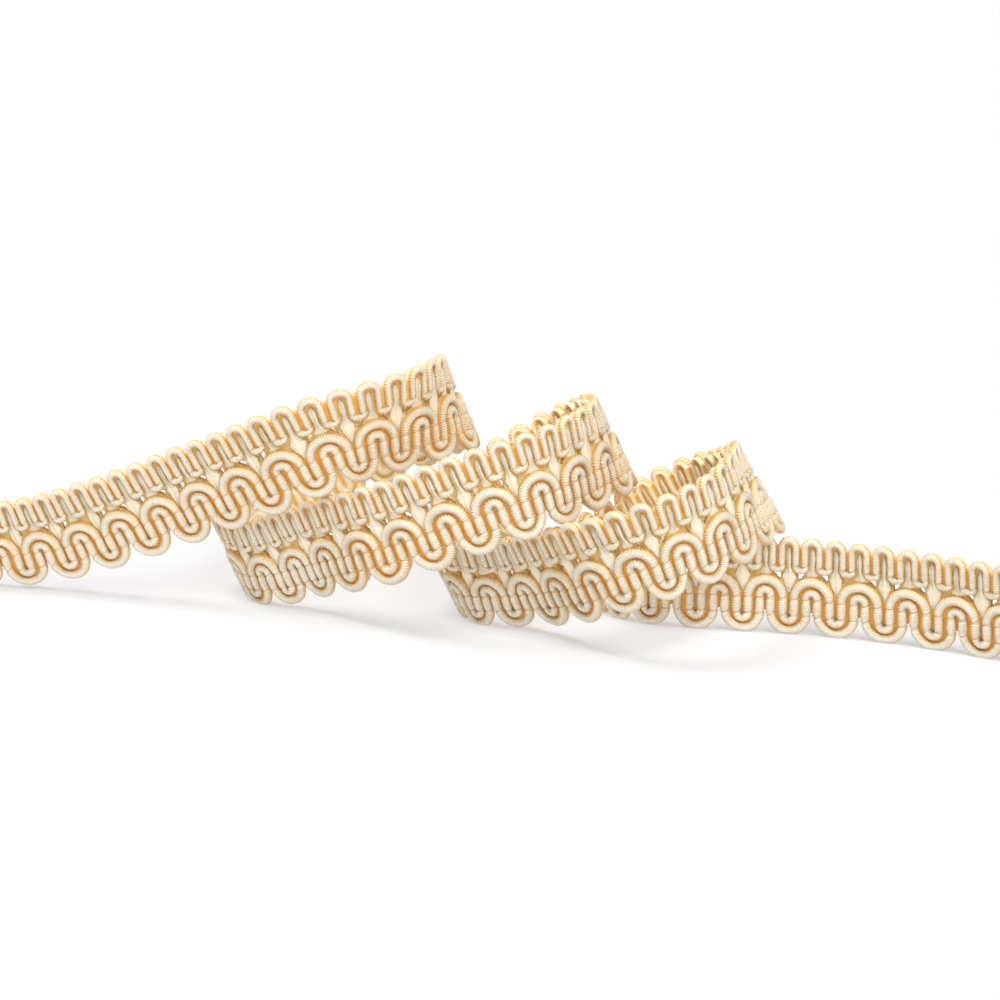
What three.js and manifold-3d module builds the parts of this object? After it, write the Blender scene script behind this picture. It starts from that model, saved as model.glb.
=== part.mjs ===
// A cut length of gimp braid, standing on its scalloped edge and pulled out into
// three leaning loops. Millimetres, +Z up, the floor at z = 0.
// The braid is a thin weft web that carries two scroll cords and one heading cord
// on its outer face. Every piece is drawn flat, along the braid and across it, and
// is then bent along one path in space.

import * as THREE from "three";
import { mergeVertices } from "three/addons/utils/BufferGeometryUtils.js";
import Module from "manifold-3d";

const WIDTH = 20.4;
const WEB_THICKNESS = 1.0;
const SEAT_GAP = 0.42;
const SCROLL_CORD = { width: 1.6, height: 1.45 };
const HEADING_CORD = { width: 1.15, height: 1.1 };

// Scallops pressed flat where the braid stands: the whole braid sinks this far
// below the floor and is cut off level there.
const PRESSED_FLAT = 0.3;

// Where the middle of the finished braid's box lies on the floor, in the path's
// own numbers. The model is moved so that this is its origin.
const BOX_MIDDLE = { x: -8.84, y: -9.92 };

// A block under the floor, wider than the braid, that cuts off what is pressed flat.
const FLOOR_BLOCK = { side: 400, depth: 20 };

// Cords stop this part of a wave short of the web's two cut ends.
const CORD_MARGIN = 0.06;

// Corners closer than this are one corner, and a place along the path is found
// this finely.
const SAME_CORNER = 1e-5;
const SAME_KNOT = 1e-7;

// The path of the middle of the braid, a row for each bend. Lean is in degrees,
// positive where the top edge leans out over the side with the cords on it.
// Wave counts the scroll's crests from the left end.
const PATH = [
  { x: -123, y: 9.5, z: 9.65, lean: 17, wave: 0 },
  { x: -112, y: 8, z: 9.65, lean: 19, wave: 1.15 },
  { x: -98.5, y: 5, z: 11.1, lean: 18, wave: 2.58 },
  { x: -80, y: -1.5, z: 16.9, lean: 17, wave: 4.72 },
  { x: -62.5, y: -9, z: 24.6, lean: 16, wave: 6.76 },
  { x: -45, y: -18, z: 33, lean: 15, wave: 8.8 },
  { x: -31.5, y: -21.8, z: 38.9, lean: 12, wave: 10.27 },
  { x: -18, y: -17, z: 41.7, lean: 3, wave: 11.83 },
  { x: -11.8, y: -7, z: 41.7, lean: -13, wave: 12.9 },
  { x: -9.4, y: 4.5, z: 39.8, lean: -22, wave: 13.9 },
  { x: -13.5, y: 20, z: 35, lean: -14, wave: 15.5 },
  { x: -26.5, y: 30, z: 26.5, lean: 0, wave: 17.4 },
  { x: -44.5, y: 27, z: 17, lean: 10, wave: 19.6 },
  { x: -53.5, y: 13, z: 10.5, lean: 20, wave: 21.5 },
  { x: -54.2, y: 1, z: 9.5, lean: 24, wave: 22.7 },
  { x: -50.2, y: -5.5, z: 9.5, lean: 20, wave: 23.6 },
  { x: -39.5, y: -11.2, z: 13, lean: 14, wave: 25.3 },
  { x: -23, y: -26.6, z: 20.6, lean: 9, wave: 27.5 },
  { x: -6.5, y: -36.8, z: 29, lean: 6, wave: 29.45 },
  { x: 7.5, y: -37.8, z: 34.2, lean: -2, wave: 31.1 },
  { x: 16.8, y: -28.8, z: 36.3, lean: -12, wave: 32.6 },
  { x: 21.6, y: -11.5, z: 35, lean: -25, wave: 34.15 },
  { x: 19.2, y: 3, z: 31.9, lean: -16, wave: 35.6 },
  { x: 10.5, y: 13, z: 25.6, lean: 0, wave: 37.2 },
  { x: -4, y: 9, z: 15.75, lean: 12, wave: 39 },
  { x: -9.4, y: -3, z: 9.5, lean: 20, wave: 40.4 },
  { x: -10, y: -12.5, z: 9, lean: 26, wave: 41.4 },
  { x: -6.5, y: -19.8, z: 9.35, lean: 22, wave: 42.35 },
  { x: 2.5, y: -24.8, z: 10.8, lean: 21, wave: 43.65 },
  { x: 16, y: -39.5, z: 16.8, lean: 17, wave: 45.75 },
  { x: 28.6, y: -47.8, z: 22.9, lean: 8, wave: 47.42 },
  { x: 39.8, y: -44.5, z: 26.8, lean: -7, wave: 48.87 },
  { x: 46.8, y: -33, z: 29.2, lean: -21, wave: 50.35 },
  { x: 49.8, y: -20, z: 27.9, lean: -30, wave: 51.9 },
  { x: 46.8, y: -8, z: 23.5, lean: -20, wave: 53.3 },
  { x: 38.3, y: 1, z: 18.7, lean: -2, wave: 54.75 },
  { x: 26.3, y: -1, z: 12.25, lean: 10, wave: 56.35 },
  { x: 19.5, y: -9, z: 9.3, lean: 18, wave: 57.5 },
  { x: 22.5, y: -15.8, z: 9.8, lean: 18, wave: 58.5 },
  { x: 37, y: -21.3, z: 10.2, lean: 6, wave: 60.3 },
  { x: 56.5, y: -25.3, z: 10.15, lean: 5, wave: 62.45 },
  { x: 75, y: -32.2, z: 10.1, lean: 8.5, wave: 64.5 },
  { x: 92, y: -42, z: 10.05, lean: 10.5, wave: 66.45 },
  { x: 104.5, y: -51.3, z: 9.95, lean: 11, wave: 68 },
];

// One wave of each scroll cord, flat. Along is in waves from a crest, and across
// is in millimetres up from the lowest scallop.
const CREST_CORD = [
  { along: -0.385, across: 5.2 },
  { along: -0.385, across: 8.3 },
  { along: -0.25, across: 10.7 },
  { along: 0, across: 11.5 },
  { along: 0.25, across: 10.7 },
  { along: 0.385, across: 8.3 },
  { along: 0.385, across: 5.2 },
  { along: 0.43, across: 3.4 },
  { along: 0.57, across: 3.4 },
];
const TROUGH_CORD = [
  { along: -0.115, across: 7.2 },
  { along: -0.07, across: 9.1 },
  { along: 0.07, across: 9.1 },
  { along: 0.115, across: 7.2 },
  { along: 0.115, across: 4.1 },
  { along: 0.25, across: 1.7 },
  { along: 0.5, across: 0.9 },
  { along: 0.75, across: 1.7 },
  { along: 0.885, across: 4.1 },
];

// One loop of the heading cord, half a wave long.
const HEADING_LOOP = [
  { along: -0.14, across: 18.2 },
  { along: 0, across: 19.8 },
  { along: 0.14, across: 18.2 },
  { along: 0.16, across: 14.2 },
  { along: 0.34, across: 14.2 },
];

// The web's two edges over one wave: it fills the scallops and the loops.
const WEB_STATIONS = [
  { along: 0, low: 3.4, high: 20.4 },
  { along: 0.125, low: 1.5, high: 20.1 },
  { along: 0.25, low: 0.6, high: 19.2 },
  { along: 0.375, low: 0.15, high: 20.1 },
  { along: 0.5, low: 0, high: 20.4 },
  { along: 0.625, low: 0.15, high: 20.1 },
  { along: 0.75, low: 0.6, high: 19.2 },
  { along: 0.875, low: 1.5, high: 20.1 },
];

const FIRST_WAVE = PATH[0].wave;
const LAST_WAVE = PATH[PATH.length - 1].wave;

// A natural cubic spline through the rows, one coefficient set for each column.
class Spline {
  constructor(rows, columns) {
    this.columns = columns;
    this.rows = rows;
    this.knots = [0];
    for (let i = 1; i < rows.length; i += 1) {
      const a = rows[i - 1];
      const b = rows[i];
      this.knots.push(this.knots[i - 1] + Math.hypot(b.x - a.x, b.y - a.y, b.z - a.z));
    }
    this.bends = {};
    for (const column of columns) {
      this.bends[column] = this.solve(rows.map((row) => row[column]));
    }
  }

  // Second derivatives at the knots, with none at the two ends.
  solve(values) {
    const count = values.length;
    const upper = new Array(count).fill(0);
    const bends = new Array(count).fill(0);
    for (let i = 1; i < count - 1; i += 1) {
      const before = this.knots[i] - this.knots[i - 1];
      const after = this.knots[i + 1] - this.knots[i];
      const pivot = 2 * (before + after) - before * upper[i - 1];
      const slopes = (values[i + 1] - values[i]) / after - (values[i] - values[i - 1]) / before;
      upper[i] = after / pivot;
      bends[i] = (6 * slopes - before * bends[i - 1]) / pivot;
    }
    for (let i = count - 2; i > 0; i -= 1) {
      bends[i] -= upper[i] * bends[i + 1];
    }
    return bends;
  }

  // Value and slope of every column at a knot value.
  at(knot) {
    const { knots, rows } = this;
    let i = knots.findIndex((value) => value > knot) - 1;
    if (i < 0) {
      i = rows.length - 2;
    }
    const span = knots[i + 1] - knots[i];
    const left = knots[i + 1] - knot;
    const right = knot - knots[i];
    const value = {};
    const slope = {};
    for (const column of this.columns) {
      const bends = this.bends[column];
      const near = rows[i][column] / span - (bends[i] * span) / 6;
      const far = rows[i + 1][column] / span - (bends[i + 1] * span) / 6;
      const curve = (bends[i] * left ** 3 + bends[i + 1] * right ** 3) / (6 * span);
      const turn = (bends[i + 1] * right ** 2 - bends[i] * left ** 2) / (2 * span);
      value[column] = curve + near * left + far * right;
      slope[column] = turn - near + far;
    }
    return { value, slope };
  }
}

const path = new Spline(PATH, ["x", "y", "z", "lean", "wave"]);

// The knot value at which the path reaches a wave, found by halving.
function knotOfWave(wave) {
  let low = 0;
  let high = path.knots[path.knots.length - 1];
  while (high - low > SAME_KNOT) {
    const middle = (low + high) / 2;
    if (path.at(middle).value.wave < wave) {
      low = middle;
    } else {
      high = middle;
    }
  }
  return (low + high) / 2;
}

// The braid's own directions at a wave: along it, up across it, and out of the
// face that carries the cords.
function frameAt(wave) {
  const { value, slope } = path.at(knotOfWave(wave));
  const along = new THREE.Vector3(slope.x, slope.y, slope.z).normalize();
  const upright = new THREE.Vector3(0, 0, 1).addScaledVector(along, -along.z).normalize();
  const outward = new THREE.Vector3().crossVectors(along, upright);
  const lean = THREE.MathUtils.degToRad(value.lean);
  const cos = Math.cos(lean);
  const sin = Math.sin(lean);
  const across = upright.clone().multiplyScalar(cos).addScaledVector(outward, sin);
  const face = outward.clone().multiplyScalar(cos).addScaledVector(upright, -sin);
  return {
    middle: new THREE.Vector3(value.x, value.y, value.z - PRESSED_FLAT),
    across,
    face,
  };
}

// A point given flat, as a wave number, a height across the braid and a height
// off its middle layer, put where the bent braid has it.
function bentPoint(wave, across, off) {
  const frame = frameAt(wave);
  return frame.middle
    .clone()
    .addScaledVector(frame.across, across - WIDTH / 2)
    .addScaledVector(frame.face, off);
}

// A section drawn as a Shape is extruded in even steps, and each step's corners
// are then moved to their places. The ends stay flat cuts.
function sweep(shape, steps, place) {
  const geometry = new THREE.ExtrudeGeometry(shape, { depth: steps, steps, bevelEnabled: false });
  geometry.deleteAttribute("normal");
  geometry.deleteAttribute("uv");
  const position = geometry.getAttribute("position");
  for (let i = 0; i < position.count; i += 1) {
    const point = place(Math.round(position.getZ(i)), position.getX(i), position.getY(i));
    position.setXYZ(i, point.x, point.y, point.z);
  }
  return mergeVertices(geometry, SAME_CORNER);
}

// The flat route of a cord: one repeat's points, laid end to end between the two
// cut ends of the braid.
function route(repeat, repeatLength) {
  const points = [];
  for (let repeatStart = FIRST_WAVE - 1; repeatStart < LAST_WAVE + 1; repeatStart += repeatLength) {
    for (const { along, across } of repeat) {
      points.push({ wave: repeatStart + along, across });
    }
  }
  const start = FIRST_WAVE + CORD_MARGIN;
  const end = LAST_WAVE - CORD_MARGIN;
  return points.filter(({ wave }) => wave > start && wave < end);
}

// The mean pitch turns a flat route's wave numbers into millimetres, so that a
// cord's sides can be set square to its run.
const PITCH = path.knots[path.knots.length - 1] / (LAST_WAVE - FIRST_WAVE);

// A cord is flat where it lies on the web and comes to a ridge on top.
function cord(points, { width, height }) {
  const section = new THREE.Shape();
  section.moveTo(-width / 2, 0);
  section.lineTo(width / 2, 0);
  section.lineTo(0, height);
  section.closePath();
  const seat = WEB_THICKNESS / 2 + SEAT_GAP;
  return sweep(section, points.length - 1, (step, side, rise) => {
    const here = points[step];
    const before = points[Math.max(step - 1, 0)];
    const after = points[Math.min(step + 1, points.length - 1)];
    const runAlong = (after.wave - before.wave) * PITCH;
    const runAcross = after.across - before.across;
    const run = Math.hypot(runAlong, runAcross);
    const wave = here.wave - (side * runAcross) / run / PITCH;
    const across = here.across + (side * runAlong) / run;
    return bentPoint(wave, across, seat + rise);
  });
}

// The web is one thin strip with scalloped edges.
function web() {
  const stations = [];
  for (let start = Math.floor(FIRST_WAVE); start <= LAST_WAVE; start += 1) {
    for (const { along, low, high } of WEB_STATIONS) {
      stations.push({ wave: start + along, low, high });
    }
  }
  const used = stations.filter(({ wave }) => wave >= FIRST_WAVE && wave <= LAST_WAVE);
  const section = new THREE.Shape();
  section.moveTo(0, -WEB_THICKNESS / 2);
  section.lineTo(1, -WEB_THICKNESS / 2);
  section.lineTo(1, WEB_THICKNESS / 2);
  section.lineTo(0, WEB_THICKNESS / 2);
  section.closePath();
  return sweep(section, used.length - 1, (step, share, off) => {
    const { wave, low, high } = used[step];
    return bentPoint(wave, THREE.MathUtils.lerp(low, high, share), off);
  });
}

const wasm = await Module();
wasm.setup();

function toManifold(geometry) {
  return new wasm.Manifold(
    new wasm.Mesh({
      numProp: 3,
      vertProperties: new Float32Array(geometry.getAttribute("position").array),
      triVerts: new Uint32Array(geometry.getIndex().array),
    }),
  );
}

function toGeometry(solid) {
  const mesh = solid.getMesh();
  const geometry = new THREE.BufferGeometry();
  geometry.setAttribute("position", new THREE.BufferAttribute(mesh.vertProperties, 3));
  geometry.setIndex(new THREE.BufferAttribute(mesh.triVerts, 1));
  return geometry;
}

// Everything that has sunk below the floor is cut off level with it.
function pressedFlat(geometry) {
  const slab = new THREE.BoxGeometry(FLOOR_BLOCK.side, FLOOR_BLOCK.side, FLOOR_BLOCK.depth);
  slab.translate(0, 0, -FLOOR_BLOCK.depth / 2);
  slab.deleteAttribute("normal");
  slab.deleteAttribute("uv");
  return toGeometry(toManifold(geometry).subtract(toManifold(mergeVertices(slab))));
}

function piece(name, geometry, color, roughness) {
  const flat = pressedFlat(geometry).toNonIndexed();
  flat.computeVertexNormals();
  const material = new THREE.MeshStandardMaterial({ color, roughness, metalness: 0 });
  const mesh = new THREE.Mesh(flat, material);
  mesh.name = name;
  return mesh;
}

const braid = new THREE.Group();
braid.position.set(-BOX_MIDDLE.x, -BOX_MIDDLE.y, 0);
braid.add(piece("weft_web", web(), "#e9cf98", 0.7));
braid.add(piece("scroll_cord_crest", cord(route(CREST_CORD, 1), SCROLL_CORD), "#f6ecd4", 0.45));
braid.add(piece("scroll_cord_trough", cord(route(TROUGH_CORD, 1), SCROLL_CORD), "#f3e6ca", 0.45));
braid.add(piece("heading_cord", cord(route(HEADING_LOOP, 0.5), HEADING_CORD), "#f4e9d0", 0.45));

export default braid;
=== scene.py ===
"""A cut length of gimp braid, standing on its scalloped edge in three leaning loops. Two satin scroll
cords and a looped heading cord are bound on a weft web by pale flat yarns and fine threads."""

import math

import bpy
import numpy as np
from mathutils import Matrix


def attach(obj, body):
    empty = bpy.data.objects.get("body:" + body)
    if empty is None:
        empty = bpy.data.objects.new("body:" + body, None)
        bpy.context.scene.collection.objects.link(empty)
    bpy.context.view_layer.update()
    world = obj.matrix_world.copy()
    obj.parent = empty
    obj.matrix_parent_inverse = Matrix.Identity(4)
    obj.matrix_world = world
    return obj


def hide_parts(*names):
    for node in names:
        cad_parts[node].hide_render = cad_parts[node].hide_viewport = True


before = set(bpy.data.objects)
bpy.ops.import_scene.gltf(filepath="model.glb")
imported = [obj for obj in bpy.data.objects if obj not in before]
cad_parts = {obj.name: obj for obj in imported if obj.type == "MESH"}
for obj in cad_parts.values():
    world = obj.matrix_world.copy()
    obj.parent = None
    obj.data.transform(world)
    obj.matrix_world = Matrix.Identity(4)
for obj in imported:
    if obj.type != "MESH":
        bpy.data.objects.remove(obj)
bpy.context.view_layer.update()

# Sizes, in millimetres unless a name says otherwise. The braid sinks into the floor by PRESSED_FLAT
# and is level there. BOX_MIDDLE is the middle of its box in the path's own numbers. The cords are
# drawn for waves of MEAN_PITCH.
MM = 0.001
WIDTH = 20.4
PRESSED_FLAT = 0.3
BOX_MIDDLE = (-8.84, -9.92)
MEAN_PITCH = 9.9

# The path of the middle of the braid, a row for each bend. Lean is in degrees, positive where the
# top edge leans out over the side with the cords on it. Wave counts the crests from the left end.
PATH_COLUMNS = ("x", "y", "z", "lean", "wave")
PATH = np.array([
    (-123, 9.5, 9.65, 17, 0),
    (-112, 8, 9.65, 19, 1.15),
    (-98.5, 5, 11.1, 18, 2.58),
    (-80, -1.5, 16.9, 17, 4.72),
    (-62.5, -9, 24.6, 16, 6.76),
    (-45, -18, 33, 15, 8.8),
    (-31.5, -21.8, 38.9, 12, 10.27),
    (-18, -17, 41.7, 3, 11.83),
    (-11.8, -7, 41.7, -13, 12.9),
    (-9.4, 4.5, 39.8, -22, 13.9),
    (-13.5, 20, 35, -14, 15.5),
    (-26.5, 30, 26.5, 0, 17.4),
    (-44.5, 27, 17, 10, 19.6),
    (-53.5, 13, 10.5, 20, 21.5),
    (-54.2, 1, 9.5, 24, 22.7),
    (-50.2, -5.5, 9.5, 20, 23.6),
    (-39.5, -11.2, 13, 14, 25.3),
    (-23, -26.6, 20.6, 9, 27.5),
    (-6.5, -36.8, 29, 6, 29.45),
    (7.5, -37.8, 34.2, -2, 31.1),
    (16.8, -28.8, 36.3, -12, 32.6),
    (21.6, -11.5, 35, -25, 34.15),
    (19.2, 3, 31.9, -16, 35.6),
    (10.5, 13, 25.6, 0, 37.2),
    (-4, 9, 15.75, 12, 39),
    (-9.4, -3, 9.5, 20, 40.4),
    (-10, -12.5, 9, 26, 41.4),
    (-6.5, -19.8, 9.35, 22, 42.35),
    (2.5, -24.8, 10.8, 21, 43.65),
    (16, -39.5, 16.8, 17, 45.75),
    (28.6, -47.8, 22.9, 8, 47.42),
    (39.8, -44.5, 26.8, -7, 48.87),
    (46.8, -33, 29.2, -21, 50.35),
    (49.8, -20, 27.9, -30, 51.9),
    (46.8, -8, 23.5, -20, 53.3),
    (38.3, 1, 18.7, -2, 54.75),
    (26.3, -1, 12.25, 10, 56.35),
    (19.5, -9, 9.3, 18, 57.5),
    (22.5, -15.8, 9.8, 18, 58.5),
    (37, -21.3, 10.2, 6, 60.3),
    (56.5, -25.3, 10.15, 5, 62.45),
    (75, -32.2, 10.1, 8.5, 64.5),
    (92, -42, 10.05, 10.5, 66.45),
    (104.5, -51.3, 9.95, 11, 68),
])
FIRST_WAVE = PATH[0, PATH_COLUMNS.index("wave")]
LAST_WAVE = PATH[-1, PATH_COLUMNS.index("wave")]

# Half the ground's thickness, and the cords' sections. Off is how far a cord's centre lies off the
# middle of the ground, and sides is how many corners its section has.
GROUND = 0.2
SCROLL = {"width": 1.94, "height": 1.8, "off": 1.3, "sides": 11}
HEADING = {"width": 1.5, "height": 1.4, "off": 1.15, "sides": 8}

# The wrapping round a cord: its ridges, how unlike they are, how far its turns slant along the cord,
# and how far the lines between its turns bow, in turns. Along these lines the bump dips and painted
# shade darkens the cord.
RIDGE_PITCH = 0.46
RIDGE_HEIGHT = 0.042
RIDGE_SCATTER = 0.5
WRAP_SLANT = 0.22
WRAP_BOW = 0.16

# How unevenly a cord is laid along the braid, in waves, and across and off it, and how its thickness
# wanders
LAY_ALONG = 0.010
LAY_ACROSS = 0.10
LAY_OFF = 0.06
LAY_THICKNESS = 0.03

# How quickly these change: the first two for each wave, the others over so many millimetres
ALONG_RATE = 2.3
ACROSS_RATE = 1.9
OFF_SPAN = 7
THICKNESS_SPAN = 5

# Cords stop this part of a wave short of the two cut ends
CORD_MARGIN = 0.06

# Heights across the braid at which fine threads bind the cords down, how far each pinch reaches, how
# deep it is and how much thinner the cord is there. Between the low two the cord swells instead.
BOUND_LOW = 4.3
BOUND_MIDDLE = 7.7
BOUND_HIGH = 14.5
PINCH_REACH = 0.4
HIGH_PINCH_REACH = 0.35
PINCH_DEPTH = 0.08
PINCH_THINNER = 0.12
SWELL_BETWEEN = 0.07

# Shape of one wave: half widths in waves, heights and radii in millimetres
BIG_ARC = 0.38
SMALL_ARC = 0.122
CREST_CENTRE = 7.6
CREST_TOP = 11.4
CREST_FOOT = 4.35
CREST_LOW = 3.15
TROUGH_CENTRE = 8.1
TROUGH_TOP = 9.25
TROUGH_FOOT = 4.75
TROUGH_LOW = 1.0
HEADING_ARCH = 1.5
HEADING_TOP = 19.75
HEADING_LOW = 13.7
HEADING_TURN = 0.98
FOOT_DEPTH = 0.85
FOOT_SPLAY = 1.38
FOOT_ROUNDNESS = 0.6
SMALL_TURN_POINTS = 24
BIG_TURN_POINTS = 60


def natural_bends(knots, rows):
    """Second derivatives of the natural cubic spline through the rows, none at its two ends."""
    gaps = np.diff(knots)
    slopes = np.diff(rows, axis=0) / gaps[:, None]
    matrix = np.eye(len(knots))
    right = np.zeros_like(rows)
    for i in range(1, len(knots) - 1):
        matrix[i, i - 1:i + 2] = gaps[i - 1], 2 * (gaps[i - 1] + gaps[i]), gaps[i]
        right[i] = 6 * (slopes[i] - slopes[i - 1])
    return np.linalg.solve(matrix, right)


def travelled(points):
    """How far along a line of points each of them lies."""
    return np.concatenate([[0], np.cumsum(np.linalg.norm(np.diff(points, axis=0), axis=1))])


KNOTS = travelled(PATH[:, :3])
BENDS = natural_bends(KNOTS, PATH)


def path_at(knots):
    """Every column of the path and its slope at the given knot values."""
    i = np.clip(np.searchsorted(KNOTS, knots, side="right") - 1, 0, len(KNOTS) - 2)
    span = (KNOTS[i + 1] - KNOTS[i])[:, None]
    left = KNOTS[i + 1][:, None] - knots[:, None]
    right = knots[:, None] - KNOTS[i][:, None]
    near = PATH[i] / span - BENDS[i] * span / 6
    far = PATH[i + 1] / span - BENDS[i + 1] * span / 6
    value = (BENDS[i] * left**3 + BENDS[i + 1] * right**3) / (6 * span) + near * left + far * right
    slope = (BENDS[i + 1] * right**2 - BENDS[i] * left**2) / (2 * span) - near + far
    return value, slope


FINE_KNOTS = np.linspace(0, KNOTS[-1], 12001)
FINE_WAVES = path_at(FINE_KNOTS)[0][:, PATH_COLUMNS.index("wave")]


def unit(vectors):
    """Each row of the vectors, made 1 long."""
    return vectors / np.linalg.norm(vectors, axis=1, keepdims=True)


def frames(wave):
    """The braid's middle, and its directions across it and out of its face, at each wave."""
    value, slope = path_at(np.interp(wave, FINE_WAVES, FINE_KNOTS))
    along = unit(slope[:, :3])
    upright = unit(np.array([0, 0, 1.0]) - along * along[:, 2:3])
    outward = np.cross(along, upright)
    lean = np.radians(value[:, 3:4])
    across = upright * np.cos(lean) + outward * np.sin(lean)
    face = outward * np.cos(lean) - upright * np.sin(lean)
    middle = value[:, :3] - np.array([*BOX_MIDDLE, PRESSED_FLAT])
    return middle, across, face


def bent(wave, across, off):
    """Flat places, put where the bent braid has them. Nothing goes below the floor."""
    wave, across, off = (np.ravel(a) for a in np.broadcast_arrays(wave, across, off))
    middle, up, face = frames(wave)
    points = middle + up * (across - WIDTH / 2)[:, None] + face * off[:, None]
    points[:, 2] = np.maximum(points[:, 2], 0)
    return points


WANDER_RATES = (0.61, 1.37, 2.53)
WANDER_SHIFT = 1.7


def uneven(place, seed):
    """A smooth wander between about -1 and 1, the same on each run."""
    total = 0
    for k, rate in enumerate(WANDER_RATES):
        total = total + np.sin(place * rate * 2 * math.pi / 3 + seed * (WANDER_SHIFT + k) + k * seed**2)
    return total / len(WANDER_RATES)


def scatter(count, seed):
    """Even random numbers between -1 and 1, the same on each run."""
    return np.random.default_rng(seed).uniform(-1, 1, count)


def mesh_object(name, points, faces, attributes):
    """A smooth mesh piece from points in millimetres, with float attributes on its points."""
    mesh = bpy.data.meshes.new(name)
    mesh.from_pydata((points * MM).tolist(), [], faces)
    for key, values in attributes.items():
        layer = mesh.attributes.new(key, "FLOAT", "POINT")
        layer.data.foreach_set("value", np.asarray(values, dtype=np.float32).ravel())
    mesh.polygons.foreach_set("use_smooth", [True] * len(mesh.polygons))
    mesh.update()
    piece = bpy.data.objects.new(name, mesh)
    bpy.context.scene.collection.objects.link(piece)
    return piece


def grid_faces(rows, columns, closed, start=0):
    """Quads between neighbouring rows of points. A closed grid's last column meets its first."""
    row = np.arange(rows - 1)[:, None]
    column = np.arange(columns if closed else columns - 1)[None, :]
    beside = (column + 1) % columns
    corners = (row * columns + column, row * columns + beside,
               (row + 1) * columns + beside, (row + 1) * columns + column)
    spread = [np.broadcast_to(c, (rows - 1, column.size)) for c in corners]
    return start + np.stack(spread, -1).reshape(-1, 4)


# Routes of the cords, drawn flat

def half_turn(centre, centre_height, half_width, rise, count=SMALL_TURN_POINTS):
    """Half an ellipse from its left foot to its right foot. It goes under where its rise is negative."""
    angle = np.linspace(math.pi, 0, count)
    return np.stack([centre + half_width * np.cos(angle), centre_height + rise * np.sin(angle)], 1)


def crest_repeat():
    """A big arch over the crest and a small turn under the trough."""
    big = half_turn(0, CREST_CENTRE, BIG_ARC, CREST_TOP - CREST_CENTRE, BIG_TURN_POINTS)
    small = half_turn(0.5, CREST_FOOT, 0.5 - BIG_ARC, CREST_LOW - CREST_FOOT)
    return np.concatenate([big, small])


def trough_repeat():
    """A small turn over the crest and a big scallop under the trough."""
    small = half_turn(0, TROUGH_CENTRE, SMALL_ARC, TROUGH_TOP - TROUGH_CENTRE)
    big = half_turn(0.5, TROUGH_FOOT, 0.5 - SMALL_ARC, TROUGH_LOW - TROUGH_FOOT, BIG_TURN_POINTS)
    return np.concatenate([small, big])


def heading_repeat():
    """A narrow loop over half a wave and the flatter foot between it and the next."""
    arch = HEADING_ARCH / MEAN_PITCH
    turn = HEADING_TURN / MEAN_PITCH
    over = half_turn(0, HEADING_TOP - HEADING_ARCH, arch, HEADING_ARCH)
    under = half_turn(0.25, HEADING_LOW + FOOT_DEPTH, turn, -FOOT_DEPTH)
    low = np.sin(np.linspace(0, math.pi, len(under))) ** FOOT_ROUNDNESS
    under[:, 0] = 0.25 + (under[:, 0] - 0.25) * (1 + (FOOT_SPLAY - 1) * low)
    return np.concatenate([over, under])


def flat_route(repeat, repeat_length):
    """One repeat laid end to end between the two cut ends of the braid."""
    starts = np.arange(FIRST_WAVE - 1, LAST_WAVE + 1, repeat_length)
    points = np.concatenate([repeat + np.array([start, 0]) for start in starts])
    keep = (points[:, 0] > FIRST_WAVE + CORD_MARGIN) & (points[:, 0] < LAST_WAVE - CORD_MARGIN)
    return points[keep]


def near_height(across, height, reach):
    """1 at the given height across the braid, and less the farther from it."""
    return np.exp(-(((across - height) / reach) ** 2))


def pinched(across):
    """How much the binding threads draw a cord in, from 0 to 1, at each height across the braid."""
    low = near_height(across, BOUND_LOW, PINCH_REACH)
    middle = near_height(across, BOUND_MIDDLE, PINCH_REACH)
    return low + middle + near_height(across, BOUND_HIGH, HIGH_PINCH_REACH)


SMOOTHING = np.array([1, 2, 3, 2, 1]) / 9


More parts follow.
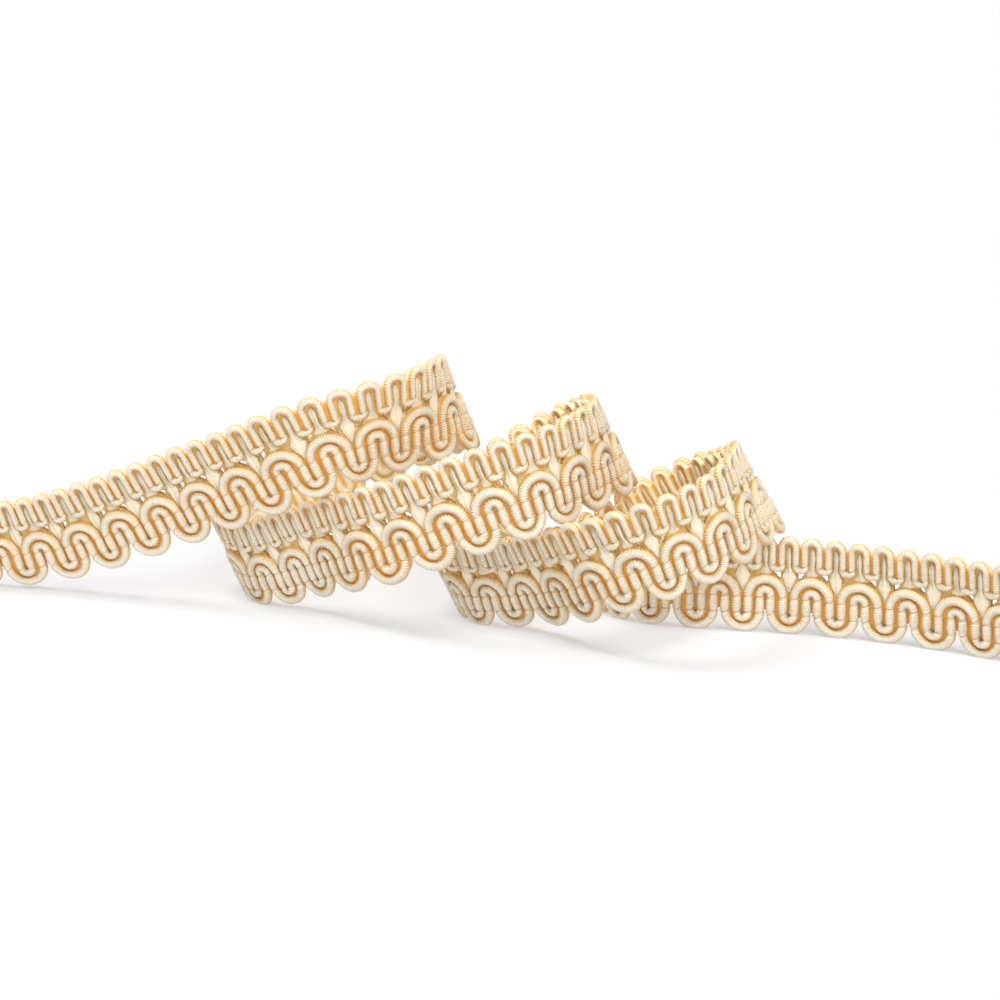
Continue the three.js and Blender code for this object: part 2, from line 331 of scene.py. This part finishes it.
def cord(name, repeat, repeat_length, size, seed):
    """A wrapped cord along its flat route. Every second ring stands on a ridge of the wrapping."""
    sides = size["sides"]
    wave, across = flat_route(repeat, repeat_length).T
    wave = wave + LAY_ALONG * uneven(wave * ALONG_RATE, seed)
    across = across + LAY_ACROSS * uneven(wave * ACROSS_RATE, seed + 3)
    reached = travelled(bent(wave, across, size["off"]))
    count = int(reached[-1] / (RIDGE_PITCH / 2))
    distance = np.linspace(0, reached[-1], count)
    wave = np.interp(distance, reached, wave)
    across = np.interp(distance, reached, across)
    for flat in (wave, across):
        flat[2:-2] = np.convolve(flat, SMOOTHING, mode="valid")
    pinch = pinched(across)
    off = size["off"] + LAY_OFF * uneven(distance / OFF_SPAN, seed + 5) - PINCH_DEPTH * pinch
    middle = bent(wave, across, off)
    run = unit(np.gradient(middle, axis=0))
    face = frames(wave)[2]
    out = unit(face - run * np.sum(face * run, axis=1, keepdims=True))
    side = np.cross(run, out)
    angle = np.arange(sides) * 2 * math.pi / sides
    ridge = np.where(np.arange(count) % 2 == 0, 1, -1) * RIDGE_HEIGHT
    ridge = ridge * (1 + RIDGE_SCATTER * scatter(count, seed))
    between = np.clip((across - BOUND_LOW) / (BOUND_MIDDLE - BOUND_LOW), 0, 1)
    barrel = np.sin(math.pi * between) ** 2
    thickness = 1 + LAY_THICKNESS * uneven(distance / THICKNESS_SPAN, seed + 7)
    thickness = thickness - PINCH_THINNER * pinch + SWELL_BETWEEN * barrel
    half_width = (size["width"] / 2 * thickness + ridge)[:, None]
    half_height = (size["height"] / 2 * thickness + ridge)[:, None]
    ring = (middle[:, None, :]
            + side[:, None, :] * (half_width * np.sin(angle))[:, :, None]
            + out[:, None, :] * (half_height * np.cos(angle))[:, :, None]
            + run[:, None, :] * (WRAP_SLANT * np.sin(angle))[None, :, None])
    points = ring.reshape(-1, 3)
    points[:, 2] = np.maximum(points[:, 2], 0)
    faces = grid_faces(count, sides, True).tolist()
    faces.append(list(range(sides)))
    faces.append([(count - 1) * sides + k for k in reversed(range(sides))])
    turned = np.abs((angle + math.pi) % (2 * math.pi) - math.pi) / math.pi
    attributes = {
        "wrap": (distance / RIDGE_PITCH)[:, None] + WRAP_BOW * np.sin(angle)[None, :],
        "turn": np.broadcast_to(turned, (count, sides)),
        "bound": np.broadcast_to(pinch[:, None], (count, sides)),
    }
    return mesh_object(name, points, faces, attributes)


# Weft ground: the thin sheet that everything is bound on

# Step along a cord's centre line, and a distance to start from that is farther than any cord
LINE_STEP = 0.12
FAR_OFF = 9.0


def routes_over_one_wave():
    """Every cord's centre line over one wave and a bit, in flat millimetres, and its section."""
    lines = []
    for repeat, length, size in ((crest_repeat(), 1, SCROLL), (trough_repeat(), 1, SCROLL),
                                 (heading_repeat(), 0.5, HEADING)):
        starts = np.arange(-2, 3, length)
        points = np.concatenate([repeat + np.array([start, 0]) for start in starts])
        reached = travelled(points * [MEAN_PITCH, 1])
        even = np.linspace(0, reached[-1], int(reached[-1] / LINE_STEP))
        line = np.stack([np.interp(even, reached, points[:, k]) for k in (0, 1)], 1)
        line = line[(line[:, 0] > -0.5) & (line[:, 0] < 1.5)]
        lines.append((line * [MEAN_PITCH, 1], size))
    return lines


CORD_LINES = routes_over_one_wave()


def from_line(flat, line):
    """How far each flat place is from a cord's centre line, in millimetres."""
    return np.min(np.linalg.norm(flat[:, None, :] - line[None, :, :], axis=2), axis=1)


def under_cords(wave, across):
    """How high a cord's round top stands over a flat place, from 0 beside the cords to 1, and how
    far the place is from the nearest cord's side, in millimetres."""
    flat = np.stack([np.ravel(wave % 1) * MEAN_PITCH, np.ravel(across)], 1)
    best = np.zeros(len(flat))
    clear = np.full(len(flat), FAR_OFF)
    for line, size in CORD_LINES:
        gap = from_line(flat, line)
        share = gap / (size["width"] / 2)
        best = np.maximum(best, np.sqrt(np.clip(1 - share**2, 0, 1)))
        clear = np.minimum(clear, np.maximum(gap - size["width"] / 2, 0))
    return best.reshape(np.shape(wave)), clear.reshape(np.shape(wave))


# How far round a place openness looks, in millimetres, and at how many places
OPEN_REACH = 0.9
OPEN_SAMPLES = 16


def openness(wave, across):
    """The share of the places round about that lie beside the cords. It is low in narrow grooves."""
    total = 0
    for turn in np.arange(OPEN_SAMPLES) * 2 * math.pi / OPEN_SAMPLES:
        beside = wave + OPEN_REACH * math.cos(turn) / MEAN_PITCH
        total = total + (under_cords(beside, across + OPEN_REACH * math.sin(turn))[1] > 0)
    return total / OPEN_SAMPLES


def low_edge(wave):
    """The ground's scalloped edge, under the middle of the lowest cord."""
    from_trough = np.abs(wave % 1 - 0.5) / (0.5 - SMALL_ARC)
    return TROUGH_FOOT - (TROUGH_FOOT - TROUGH_LOW) * np.sqrt(np.clip(1 - from_trough**2, 0, 1))


def high_edge(wave):
    """The ground's top edge, under the middle of the heading's arches."""
    from_arch = np.abs((wave + 0.25) % 0.5 - 0.25) * MEAN_PITCH / HEADING_ARCH
    return HEADING_TOP - HEADING_ARCH + HEADING_ARCH * np.sqrt(np.clip(1 - from_arch**2, 0, 1))


# Small see-through gaps beside each kite, in waves and millimetres. They are only where no cord
# covers the ground by more than GAP_COVERED, and the few at a scatter under GAP_CLOSED stay closed.
GAP_BESIDE = 0.25
GAP_WIDTH = 0.085
GAP_HEIGHT = 12.2
GAP_REACH = 1.3
GAP_COVERED = 0.1
GAP_CLOSED = -0.7
GAP_SEED = 29

# Steps of the ground for each wave and across the braid, and how far the cords push out its back
GROUND_COLUMNS = 22
GROUND_ROWS = 32
BACK_SWELL = 0.6
EDGE_SAMPLES = 400

# Fine waviness of the ground's fibres, and how quickly it changes in a wave and in a millimetre
FIBRE_HEIGHT = 0.05
FIBRE_ALONG = 61
FIBRE_ACROSS = 1.7

# The ground swells up between cords that lie close together, and is lowest in the open
RAISED = 0.75
RAISED_REACH = 0.55


def ground():
    """A closed thin sheet with the see-through gaps left out, and cords that swell its back."""
    count = int((LAST_WAVE - FIRST_WAVE) * GROUND_COLUMNS) + 1
    wave = np.linspace(FIRST_WAVE, LAST_WAVE, count)[:, None]
    share = np.linspace(0, 1, GROUND_ROWS)[None, :]
    low, high = low_edge(wave), high_edge(wave)
    across = low + (high - low) * share
    wave = np.broadcast_to(wave, across.shape)
    repeats = int(LAST_WAVE - FIRST_WAVE)
    first = wave[:GROUND_COLUMNS], across[:GROUND_COLUMNS]
    one = *under_cords(*first), openness(*first)
    swell, clear, opened = (np.concatenate([np.tile(part, (repeats, 1)), part[:1]]) for part in one)
    fibre = FIBRE_HEIGHT * np.sin(wave * FIBRE_ALONG) * np.sin(across * FIBRE_ACROSS)
    front = GROUND + fibre + RAISED * np.exp(-((clear / RAISED_REACH) ** 2))
    back = -GROUND - BACK_SWELL * swell + fibre
    points = np.concatenate([bent(wave, across, front), bent(wave, across, back)])

    centre_wave = (wave[:-1, :-1] + wave[1:, 1:]) / 2
    centre_across = (across[:-1, :-1] + across[1:, 1:]) / 2
    beside = np.abs(np.abs(centre_wave % 1 - 0.5) - GAP_BESIDE)
    empty = (beside < GAP_WIDTH) & (np.abs(centre_across - GAP_HEIGHT) < GAP_REACH)
    covered = under_cords(centre_wave[:GROUND_COLUMNS], centre_across[:GROUND_COLUMNS])[0]
    empty &= np.tile(covered, (repeats, 1)) < GAP_COVERED
    empty &= (scatter(2 * repeats + 2, GAP_SEED) > GAP_CLOSED)[(centre_wave * 2).astype(int)]
    kept = ~empty

    rows, columns = across.shape
    index = np.arange(rows * columns).reshape(rows, columns)
    behind = index + rows * columns
    a, b, c, d = index[:-1, :-1], index[:-1, 1:], index[1:, 1:], index[1:, :-1]
    sides = [np.stack([a, d, c, b], -1)[kept]]
    e, f, g, h = behind[:-1, :-1], behind[:-1, 1:], behind[1:, 1:], behind[1:, :-1]
    sides.append(np.stack([e, f, g, h], -1)[kept])
    padded = np.pad(kept, 1)
    rims = (
        (~padded[:-2, 1:-1], (a, b, f, e)),
        (~padded[2:, 1:-1], (c, d, h, g)),
        (~padded[1:-1, :-2], (d, a, e, h)),
        (~padded[1:-1, 2:], (b, c, g, f)),
    )
    for outside, corners in rims:
        sides.append(np.stack(corners, -1)[kept & outside])
    faces = np.concatenate(sides).tolist()
    on_both = {"swell": swell, "clear": clear, "opened": opened, "height": across, "wave": wave}
    attributes = {key: np.tile(values.ravel(), 2) for key, values in on_both.items()}
    attributes["front"] = np.repeat([1, 0], swell.size)
    piece = mesh_object("weft_ground", points, faces, attributes)
    length = path_length()
    fine = np.linspace(0, 1, EDGE_SAMPLES)
    cut_width = float(np.mean(high_edge(fine) - low_edge(fine)))
    return piece, (WIDTH * MM, length * MM), cut_width * length * MM**2


def path_length():
    """The braid's length along its middle."""
    value, slope = path_at(FINE_KNOTS)
    speed = np.linalg.norm(slope[:, :3], axis=1)
    return float(np.sum((speed[1:] + speed[:-1]) / 2 * np.diff(FINE_KNOTS)))


# Weft yarns: pale flat yarn down through each heading loop, then out in a kite or a short fan. Each
# row has a height across the braid, the yarn's half width there, how high its edges lie off the
# middle of the ground, and how far its own middle stands above them.

YARN_IN_LOOP = [
    (18.3, 0.12, 0.95, 0.15),
    (17.6, 0.42, 1.05, 0.40),
    (16.4, 0.55, 1.10, 0.50),
    (15.3, 0.46, 1.10, 0.45),
    (14.4, 0.36, 1.15, 0.40),
]
KITE = np.array(YARN_IN_LOOP + [
    (13.6, 0.62, 1.05, 0.42),
    (12.8, 1.20, 0.95, 0.42),
    (12.0, 1.55, 0.85, 0.40),
    (11.1, 1.30, 0.85, 0.42),
    (10.0, 0.80, 0.90, 0.45),
    (8.8, 0.30, 0.85, 0.32),
])
FAN = np.array(YARN_IN_LOOP + [
    (13.7, 0.55, 1.00, 0.40),
    (13.1, 0.95, 0.85, 0.36),
    (12.5, 1.35, 0.70, 0.32),
    (12.0, 1.60, 0.45, 0.30),
])
YARN_STEPS = 23
YARN_ACROSS = 13
YARN_SEED = 11

# Strands in half a yarn's width, how far their ribs rise, and how much they shift from yarn to yarn
YARN_STRANDS = 3.5
RIB_HEIGHT = 0.22
RIB_SHIFT = 3

# How far a yarn leans to one side away from its neck at YARN_NECK, how its width varies from yarn to
# yarn and along it, how quickly these change in a millimetre, and how much of its dome its edges drop
YARN_LEAN = 0.14
YARN_LEAN_RATE = 0.8
YARN_NECK = 14.4
YARN_WIDER = 0.15
YARN_WANDER = 0.2
YARN_WANDER_RATE = 1.4
EDGE_DROP = 0.45


def eased(table, count):
    """Table rows resampled evenly and rounded off between their bends."""
    place = np.linspace(0, len(table) - 1, count)
    rows = np.stack([np.interp(place, np.arange(len(table)), column) for column in table.T], 1)
    rows[1:-1] = (rows[:-2] + 2 * rows[1:-1] + rows[2:]) / 4
    return rows


def weft_yarns(name, outward, flatness):
    """Every yarn as a low ribbed pillow. Outward is 1 on the face with the cords, -1 on the back."""
    points, faces, strand, dome_share, start = [], [], [], [], 0
    spread = np.linspace(-1, 1, YARN_ACROSS)[None, :]
    round_top = np.sqrt(np.clip(1 - spread**2, 0, 1))
    count = int((LAST_WAVE - FIRST_WAVE) * 2)
    nudge = scatter(4 * (count + 1), YARN_SEED).reshape(-1, 4)
    for k in range(1, count):
        wave = FIRST_WAVE + k / 2
        table = eased(KITE if k % 2 else FAN, YARN_STEPS)
        across, half_width, base, dome = (column[:, None] for column in table.T)
        slant = nudge[k, 0] * YARN_LEAN * np.sin((across - YARN_NECK) * YARN_LEAN_RATE)
        wander = YARN_WANDER * uneven(across * YARN_WANDER_RATE, k)
        width = half_width * (1 + YARN_WIDER * nudge[k, 1] + wander)
        side = spread * width + slant
        shift = nudge[k, 2] * RIB_SHIFT
        ribs = 1 + RIB_HEIGHT * np.cos(spread * YARN_STRANDS * math.pi * 2 + shift)
        rise = round_top * dome * ribs
        off = outward * flatness * (base + rise - EDGE_DROP * spread**2 * dome)
        if outward < 0:
            off = off - GROUND
        points.append(bent(wave + side / MEAN_PITCH, across + 0 * side, off))
        faces.append(grid_faces(YARN_STEPS, YARN_ACROSS, False, start)[:, ::outward])
        strand.append((spread * YARN_STRANDS + shift / (2 * math.pi) + 0 * across).ravel())
        dome_share.append((round_top + 0 * across).ravel())
        start += YARN_STEPS * YARN_ACROSS
    attributes = {"strand": np.concatenate(strand), "dome": np.concatenate(dome_share)}
    return mesh_object(name, np.concatenate(points), np.concatenate(faces).tolist(), attributes)


# Fine threads that run along the braid over the cords and bind them down

# Steps of a thread for each wave, how far it stays off the ground between cords, and the part of a
# pinched cord's width and height that it goes over
THREAD_STEPS = 40
THREAD_SIDES = 4
THREAD_RADIUS = 0.06
THREAD_OFF_GROUND = 0.25
PINCHED_WIDTH = 0.92
PINCHED_HEIGHT = 0.9

# How far a thread wanders across the braid, how quickly, and how much of its radius shows more
THREAD_WANDER = 0.08
THREAD_RATE = 3.1
THREAD_LIFT = 0.2


def thread_height(wave, across):
    """How far off the middle of the ground a thread lies over the cords and between them."""
    flat = np.stack([np.ravel(wave % 1) * MEAN_PITCH, np.full(np.size(wave), across)], 1)
    top = np.full(len(flat), GROUND + THREAD_OFF_GROUND)
    for line, size in CORD_LINES:
        share = np.clip(from_line(flat, line) / (size["width"] / 2 * PINCHED_WIDTH), 0, 1)
        over = size["height"] / 2 * PINCHED_HEIGHT * np.sqrt(1 - share**2)
        top = np.maximum(top, size["off"] - PINCH_DEPTH + over)
    return top


def binding_threads():
    """The three threads as one piece."""
    points, faces, start = [], [], 0
    one = np.arange(THREAD_STEPS) / THREAD_STEPS
    repeats = int(LAST_WAVE - FIRST_WAVE)
    angle = np.arange(THREAD_SIDES) * 2 * math.pi / THREAD_SIDES
    for number, height in enumerate((BOUND_LOW, BOUND_MIDDLE, BOUND_HIGH)):
        top = thread_height(one, height)
        top = np.tile((np.roll(top, 1) + 2 * top + np.roll(top, -1)) / 4, repeats)
        wave = FIRST_WAVE + np.arange(len(top)) / THREAD_STEPS
        across = height + THREAD_WANDER * uneven(wave * THREAD_RATE, number + 20)
        middle = bent(wave, across, top + THREAD_RADIUS * THREAD_LIFT)
        frame_up, frame_face = frames(wave)[1:]
        ring = middle[:, None, :] + THREAD_RADIUS * (
            frame_up[:, None, :] * np.cos(angle)[None, :, None]
            + frame_face[:, None, :] * np.sin(angle)[None, :, None])
        points.append(ring.reshape(-1, 3))
        faces += grid_faces(len(wave), THREAD_SIDES, True, start).tolist()
        last = start + (len(wave) - 1) * THREAD_SIDES
        faces.append([start + k for k in range(THREAD_SIDES)])
        faces.append([last + k for k in reversed(range(THREAD_SIDES))])
        start += len(wave) * THREAD_SIDES
    return mesh_object("binding_threads", np.concatenate(points), faces, {})


# Materials

class Wire:
    """One output of a shader node. Arithmetic on it adds Math nodes."""

    def __init__(self, finish, socket):
        self.finish = finish
        self.socket = socket

    def math(self, operation, first, second=0.0):
        return self.finish.node("ShaderNodeMath", {"operation": operation}, {0: first, 1: second})

    def __add__(self, other):
        return self.math("ADD", self, other)

    def __sub__(self, other):
        return self.math("SUBTRACT", self, other)

    def __rsub__(self, other):
        return self.math("SUBTRACT", other, self)

    def __mul__(self, other):
        return self.math("MULTIPLY", self, other)

    def __pow__(self, other):
        return self.math("POWER", self, other)

    def cosine(self):
        return self.math("COSINE", self)

    __radd__ = __add__
    __rmul__ = __mul__


class Finish:
    """A material, with one method for its nodes and a few for what it uses often."""

    def __init__(self, name):
        self.material = bpy.data.materials.new(name)
        self.material.use_nodes = True
        self.tree = self.material.node_tree
        self.tree.nodes.clear()

    def node(self, kind, settings=None, sockets=None, output=0):
        node = self.tree.nodes.new(kind)
        for key, value in (settings or {}).items():
            if key == "stops":
                ramp = node.color_ramp
                while len(ramp.elements) < len(value):
                    ramp.elements.new(0.5)
                for element, (position, color) in zip(ramp.elements, value):
                    element.position = position
                    element.color = (*color, 1)
            else:
                setattr(node, key, value)
        for key, value in (sockets or {}).items():
            if isinstance(value, Wire):
                self.tree.links.new(value.socket, node.inputs[key])
            else:
                node.inputs[key].default_value = value
        return Wire(self, node.outputs[output])

    def attribute(self, name):
        return self.node("ShaderNodeAttribute", {"attribute_name": name}, output=2)

    def noise(self, per_metre, detail=2.0):
        place = self.node("ShaderNodeTexCoord", output=3)
        sockets = {"Vector": place, "Scale": per_metre, "Detail": detail}
        return self.node("ShaderNodeTexNoise", {}, sockets)

    def within(self, value, low, high):
        """0 where the value is at low and 1 where it is at high, eased between."""
        settings = {"interpolation_type": "SMOOTHSTEP"}
        sockets = {"Value": value, "From Min": low, "From Max": high}
        return self.node("ShaderNodeMapRange", settings, sockets)

    def mix(self, factor, first, second):
        """The first colour where the factor is 0 and the second where it is 1."""
        first, second = (c if isinstance(c, Wire) else (*c, 1) for c in (first, second))
        sockets = {0: factor, 6: first, 7: second}
        return self.node("ShaderNodeMix", {"data_type": "RGBA"}, sockets, output=2)

    def ramp(self, value, stops):
        return self.node("ShaderNodeValToRGB", {"stops": stops}, {"Fac": value})

    def finish(self, color, roughness, height, bump_depth, constants):
        """Closes the material with its shader. Bump depth is in millimetres."""
        bump = {"Strength": 1.0, "Distance": bump_depth * MM, "Height": height}
        normal = self.node("ShaderNodeBump", {}, bump)
        sockets = {"Base Color": color, "Roughness": roughness, "Normal": normal, **constants}
        shader = self.node("ShaderNodeBsdfPrincipled", {}, sockets)
        output = self.tree.nodes.new("ShaderNodeOutputMaterial")
        self.tree.links.new(shader.socket, output.inputs["Surface"])
        return self.material


# Colours of the yarn, from the painted glow in its grooves to the palest. Several serve as painted
# highlight and painted shade below. Depth is in metres.
BLACK = (0, 0, 0)
PAINTED_GLOW = (0.85, 0.40, 0.05)
DEEP_ORANGE = (0.70, 0.33, 0.04)
ORANGE = (0.80, 0.48, 0.12)
GOLD = (0.81, 0.52, 0.16)
PALE_GOLD = (0.83, 0.61, 0.28)
BROWN_PAINTED_SHADE = (0.70, 0.50, 0.25)
TAN = (0.82, 0.65, 0.40)
BEIGE = (0.88, 0.74, 0.52)
CREAM = (0.92, 0.83, 0.66)
SILK_PAINTED_HIGHLIGHT = (0.94, 0.88, 0.76)
LIT_YARN = (0.96, 0.90, 0.74)
WARM_DEPTH = (0.0018, 0.0010, 0.0005)


def satin_cord():
    """Cream satin thread wrapped round a core, with fine cross ridges. Its colour holds painted light: a
    painted highlight band along its outer face, painted shade on its flanks, in the grooves between the
    wraps and at the pinches, and a painted orange glow where it turns under.
    """
    finish = Finish("satin_cord")
    turn = finish.attribute("turn")
    wrap = finish.attribute("wrap")
    bound = finish.attribute("bound")
    patch = finish.noise(260)
    thread = finish.noise(2600, 3)
    ridge = 0.5 + 0.5 * (wrap * (2 * math.pi)).cosine()
    side = turn + (patch - 0.5) * 0.08 - (ridge - 0.5) * 0.06
    # Painted highlight and shade round the cord: a near-white band on its outer face, darker flanks and
    # an orange underside
    color = finish.ramp(side, [
        (0.09, SILK_PAINTED_HIGHLIGHT),
        (0.13, CREAM),
        (0.17, BEIGE),
        (0.31, TAN),
        (0.41, BROWN_PAINTED_SHADE),
        (0.52, ORANGE),
        (0.8, TAN),
    ])
    # Painted shade in the grooves between the wraps, broken up by fine noise
    color = finish.mix((1 - ridge) * finish.within(thread, 0.3, 0.7) * 0.32, color, TAN)
    # Painted shade, more orange, where the binding threads pinch the cord
    color = finish.mix(finish.within(bound, 0.55, 1.0) * 0.3, color, ORANGE)
    # Painted glow where the cord turns under, standing in for light through the yarn
    painted_glow = finish.mix(finish.within(turn, 0.44, 0.54), BLACK, PAINTED_GLOW)
    height = ridge ** 0.7 + thread * 0.9
    roughness = 0.30 + (thread - 0.5) * 0.2
    constants = {
        "Emission Color": painted_glow,
        "Emission Strength": 0.08,
        "Sheen Weight": 0.15,
        "Sheen Roughness": 0.4,
        "Specular IOR Level": 1.0,
        "Subsurface Weight": 0.15,
        "Subsurface Radius": WARM_DEPTH,
        "Subsurface Scale": 0.5,
    }
    return finish.finish(color, roughness, height, 0.10, constants)


def weft_ground_finish():
    """Golden core yarn with painted shade: deep orange in the narrow grooves between the cords, where it
    also has a painted glow, and on the back orange in the low places and pale where the cords swell it.
    """
    finish = Finish("weft_ground")
    swell = finish.attribute("swell")
    front = finish.attribute("front")
    fibre = finish.noise(1800, 3)
    patch = finish.noise(300)
    clear = finish.attribute("clear")
    opened = finish.attribute("opened")
    # Painted shade on the front: deep orange in narrow grooves, pale gold in the open
    shaded = finish.ramp(opened, [(0.25, DEEP_ORANGE), (0.42, ORANGE), (0.58, GOLD), (0.85, PALE_GOLD)])
    # Painted shade on the back: orange in the low places, pale on the cords' swells
    ring = finish.ramp(swell, [(0.0, ORANGE), (0.25, GOLD), (0.65, PALE_GOLD), (0.95, CREAM)])
    color = finish.mix(front, ring, shaded)
    along = finish.attribute("wave") * MEAN_PITCH
    height = finish.attribute("height") * 0.2
    streak_place = finish.node("ShaderNodeCombineXYZ", {}, {0: along, 1: height})
    streak = finish.node("ShaderNodeTexNoise", {}, {"Vector": streak_place, "Scale": 5.0, "Detail": 2.0})
    pale = finish.within(streak, 0.42, 0.62) * finish.within(clear, 0.1, 0.5)
    color = finish.mix(pale * 0.4, color, CREAM)
    color = finish.mix(finish.within(fibre, 0.45, 0.7) * 0.2, color, BEIGE)
    color = finish.mix(finish.within(patch, 0.5, 0.75) * 0.25, color, TAN)
    # Painted glow in the front's narrow grooves
    narrow = finish.within(opened, 0.5, 0.28) * front
    painted_glow = finish.mix(narrow, BLACK, PAINTED_GLOW)
    constants = {
        "Emission Color": painted_glow,
        "Emission Strength": 0.32,
        "Sheen Weight": 0.3,
        "Sheen Roughness": 0.5,
        "Specular IOR Level": 0.3,
        "Subsurface Weight": 0.3,
        "Subsurface Radius": WARM_DEPTH,
        "Subsurface Scale": 1.0,
    }
    return finish.finish(color, 0.6 + fibre * 0.1, fibre + streak, 0.14, constants)


def weft_yarn_finish(name, pale, deep):
    """Pale untwisted yarn: soft parallel strands. Painted shade darkens it in golden lines in the
    grooves between the strands and towards its edges, and a faint painted glow of its pale colour lifts
    it.
    """
    finish = Finish(name)
    strand = finish.attribute("strand")
    dome = finish.attribute("dome")
    fibre = finish.noise(2200, 3)
    line = 0.5 + 0.5 * (strand * (2 * math.pi)).cosine()
    # Painted shade: the deep colour towards the yarn's edges
    color = finish.mix(finish.within(dome, 0.15, 0.6), deep, pale)
    # Painted shade in the grooves between the strands
    color = finish.mix((1 - line) * 0.3, color, deep)
    color = finish.mix(finish.within(fibre, 0.55, 0.8) * 0.12, color, deep)
    # A faint painted glow of the pale colour
    constants = {
        "Emission Color": (*pale, 1),
        "Emission Strength": 0.15,
        "Sheen Weight": 0.3,
        "Sheen Roughness": 0.4,
        "Specular IOR Level": 0.4,
    }
    return finish.finish(color, 0.5 + fibre * 0.15, line + fibre * 0.8, 0.08, constants)


def plain_thread():
    """Dull golden thread."""
    finish = Finish("binding_thread")
    fibre = finish.noise(3000)
    color = finish.mix(fibre, GOLD, BEIGE)
    constants = {"Sheen Weight": 0.2, "Specular IOR Level": 0.4}
    return finish.finish(color, 0.5 + fibre * 0.1, fibre, 0.03, constants)


def white_floor():
    """White card that glows a little, so that it stays white to its far edge."""
    finish = Finish("white_floor")
    grain = finish.noise(40)
    color = finish.mix(grain, (0.35, 0.35, 0.365), (0.37, 0.37, 0.38))
    constants = {
        "Specular IOR Level": 0.1,
        "Emission Color": (0.98, 0.995, 1.03, 1),
        "Emission Strength": 0.45,
    }
    return finish.finish(color, 0.6 + grain * 0.1, grain, 0.01, constants)


def dress(piece, material, slot, *nodes):
    """Gives a piece its material and its body, and hides the model's parts that it stands for."""
    piece.data.materials.append(material)
    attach(piece, "root")
    if nodes:
        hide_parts(*nodes)


# Camera, straight in front of the braid's middle and looking down at it a little

camera_data = bpy.data.cameras.new("camera")
camera_data.sensor_width = 36
camera_data.lens = 105.84
camera_data.clip_start = 0.01
camera_data.clip_end = 50
camera = bpy.data.objects.new("camera", camera_data)
camera.location = (0.00884, -0.57226, 0.16565)
camera.rotation_euler = (math.radians(76), 0, 0)
bpy.context.scene.collection.objects.link(camera)
bpy.context.scene.camera = camera

# The braid

cord_finish = satin_cord()
crest_cord = cord("crest_cord", crest_repeat(), 1, SCROLL, seed=1)
trough_cord = cord("trough_cord", trough_repeat(), 1, SCROLL, seed=2)
loops = cord("heading_loops", heading_repeat(), 0.5, HEADING, seed=3)
dress(crest_cord, cord_finish, "cord", "scroll_cord_crest")
dress(trough_cord, cord_finish, "cord", "scroll_cord_trough")
dress(loops, cord_finish, "cord", "heading_cord")

sheet, flat_size, flat_area = ground()
dress(sheet, weft_ground_finish(), "weft", "weft_web")
front_yarns = weft_yarns("weft_yarns", outward=1, flatness=1)
back_yarns = weft_yarns("weft_yarns_back", outward=-1, flatness=0.7)
dress(front_yarns, weft_yarn_finish("pale_yarn", LIT_YARN, PALE_GOLD), "weft")
# The back yarns are dressed in a darker copy of the yarn colours: painted shade
dress(back_yarns, weft_yarn_finish("back_yarn", BEIGE, GOLD), "weft")
threads = binding_threads()
dress(threads, plain_thread(), "weft")

# Floor and light. The floor is a hair below the braid.

FLOOR_DROP = 0.15
FLOOR_HALF = 4000
corners = np.array([(-1, -1), (1, -1), (1, 1), (-1, 1)]) * FLOOR_HALF
floor_points = np.column_stack([corners, np.full(4, -FLOOR_DROP)])
floor = mesh_object("floor", floor_points, [[0, 1, 2, 3]], {})
floor.data.materials.append(white_floor())


def soft_light(name, toward, strength, spread, color):
    """An even light from far off. Toward points from the braid to the light, spread is in degrees."""
    light = bpy.data.lights.new(name, "SUN")
    light.energy = strength
    light.angle = math.radians(spread)
    light.color = color
    lamp = bpy.data.objects.new(name, light)
    x, y, z = toward
    lamp.rotation_euler = (math.atan2(math.hypot(x, y), z), 0, math.atan2(x, -y))
    bpy.context.scene.collection.objects.link(lamp)


soft_light("key", (-0.35, -0.05, 0.93), 2.6, 25, (1.0, 0.985, 0.96))
soft_light("front_fill", (0.3, -0.65, 0.75), 2.0, 35, (1.0, 0.99, 0.97))

world = bpy.data.worlds.new("white_room")
world.use_nodes = True
background = world.node_tree.nodes["Background"]
background.inputs["Color"].default_value = (1.0, 0.94, 0.84, 1)
background.inputs["Strength"].default_value = 0.38
bpy.context.scene.world = world
bpy.context.scene.view_settings.view_transform = "Standard"
